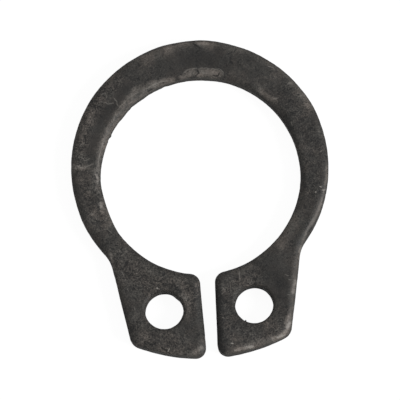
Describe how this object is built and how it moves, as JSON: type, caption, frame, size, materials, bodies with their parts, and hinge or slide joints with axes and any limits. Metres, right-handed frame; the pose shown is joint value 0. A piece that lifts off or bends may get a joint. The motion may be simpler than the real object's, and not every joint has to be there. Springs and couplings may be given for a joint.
{
  "type": "circlip retaining ring",
  "caption": "External circlip of stamped spring steel: a tapered open ring that grips a shaft groove, with two eyed lugs for circlip pliers on either side of its gap.",
  "frame": {"origin": "centre of the round inner edge, on the lower face", "axes": "+Z along the shaft axis, out of the face with the rolled edges; +Y from the gap towards the middle of the limb; the gap and the lugs lie towards -Y"},
  "size_m": [0.0096, 0.0118, 0.0008],
  "materials": {
    "phosphated_steel": "satin"
  },
  "bodies": {
    "root": {"retaining_ring": "phosphated_steel"}
  },
  "joints": []
}
